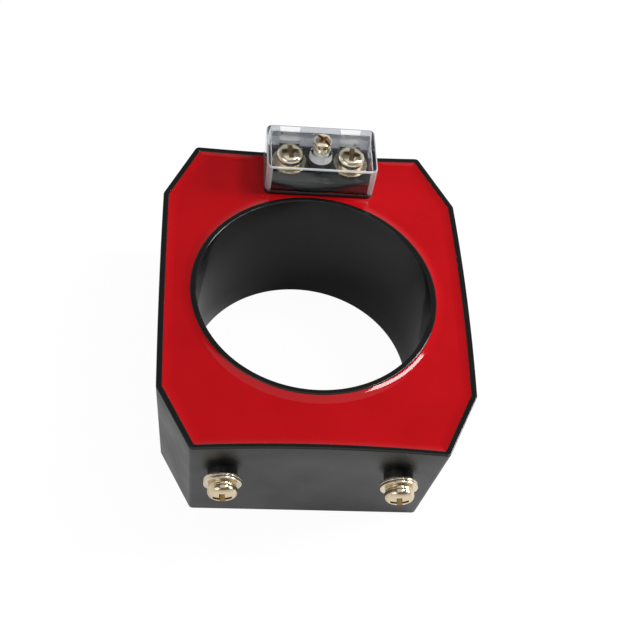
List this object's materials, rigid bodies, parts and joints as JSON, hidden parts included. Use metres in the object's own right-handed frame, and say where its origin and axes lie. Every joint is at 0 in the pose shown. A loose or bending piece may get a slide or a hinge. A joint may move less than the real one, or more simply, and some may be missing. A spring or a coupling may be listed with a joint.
{
  "type": "bushing current transformer",
  "caption": "Low-voltage window current transformer: black moulded case with a round bore for the bushing, red potting resin, clear terminal cover and bracket screws.",
  "frame": {"origin": "on the axis of the round bore, level with the floor of the case", "axes": "+Z along the bore axis, out of the resin face; +Y towards the terminal block; +X to the right when seen from the bracket screws"},
  "size_m": [0.1052, 0.1347, 0.07],
  "materials": {
    "case_plastic": "satin black moulded plastic",
    "block_plastic": "satin black moulded plastic",
    "resin": "glossy red casting resin",
    "clear_plastic": "clear moulded polycarbonate",
    "plated_steel": "bright nickel plated steel",
    "brass": "turned brass",
    "copper": "enamelled copper wire",
    "core_steel": "wound electrical steel strip",
    "press_wrap": "matt insulating paper wrap",
    "tape": "matt cotton and polyester tape",
    "lead_insulation": "matt black wire insulation"
  },
  "bodies": {
    "root": {"case": "case_plastic", "core": "core_steel", "core_insulation": "press_wrap", "secondary_winding": "copper", "lead_s1": "lead_insulation", "lead_s2": "lead_insulation", "winding_tape": "tape", "terminal_base": "block_plastic", "potting_resin": "resin", "terminal_cover": "clear_plastic", "cover_screw": "plated_steel", "cover_spring_washer": "plated_steel", "cover_insert": "brass", "terminal_screw_s1": "plated_steel", "terminal_spring_washer_s1": "plated_steel", "terminal_flat_washer_s1": "plated_steel", "terminal_insert_s1": "brass", "terminal_screw_s2": "plated_steel", "terminal_spring_washer_s2": "plated_steel", "terminal_flat_washer_s2": "plated_steel", "terminal_insert_s2": "brass", "bracket_screw_left": "plated_steel", "bracket_spring_washer_left": "plated_steel", "bracket_flat_washer_left": "plated_steel", "bracket_back_washer_left": "plated_steel", "bracket_insert_left": "brass", "bracket_screw_right": "plated_steel", "bracket_spring_washer_right": "plated_steel", "bracket_flat_washer_right": "plated_steel", "bracket_back_washer_right": "plated_steel", "bracket_insert_right": "brass"}
  },
  "joints": []
}
